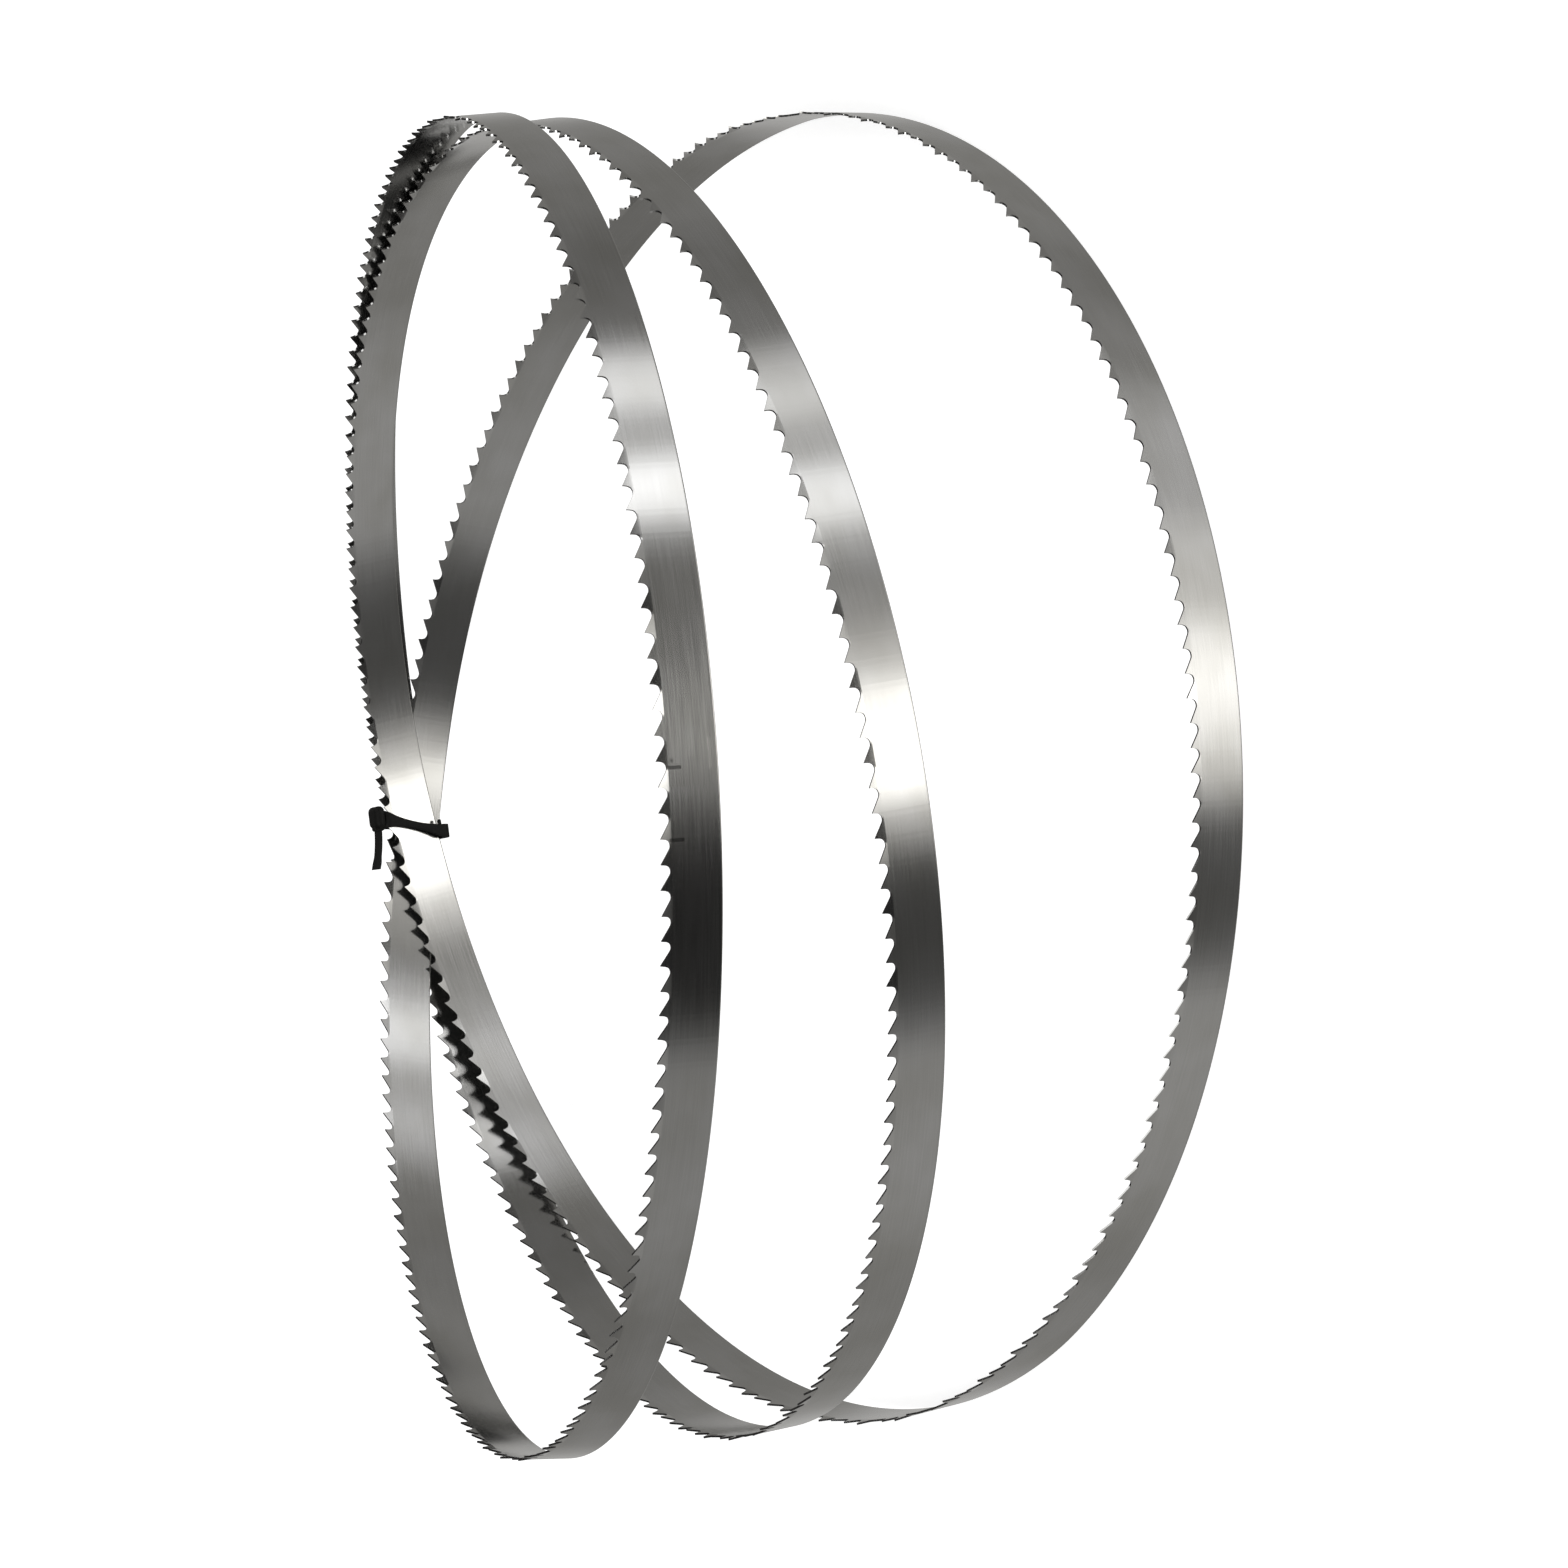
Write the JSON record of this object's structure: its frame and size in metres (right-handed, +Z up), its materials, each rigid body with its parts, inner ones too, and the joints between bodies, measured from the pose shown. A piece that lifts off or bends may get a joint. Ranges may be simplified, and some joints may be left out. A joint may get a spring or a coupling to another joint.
{
  "type": "band saw blade",
  "caption": "Endless toothed steel band for a band saw, folded into a compact coil for storage and held by a soft tie.",
  "frame": {"origin": "bottom centre of the bounding box: the plane that the lowest coil's back edge lies on", "axes": "+Z up, the way the lowest coil's teeth point; -X towards the tie, +X towards the near side, where the coils fan apart"},
  "size_m": [0.3818, 0.3712, 0.1609],
  "materials": {
    "steel": "brushed along the band, blued slightly by rolling",
    "strap": "matt black, soft"
  },
  "bodies": {
    "root": {"blade": "steel", "tie": "strap"}
  },
  "joints": []
}
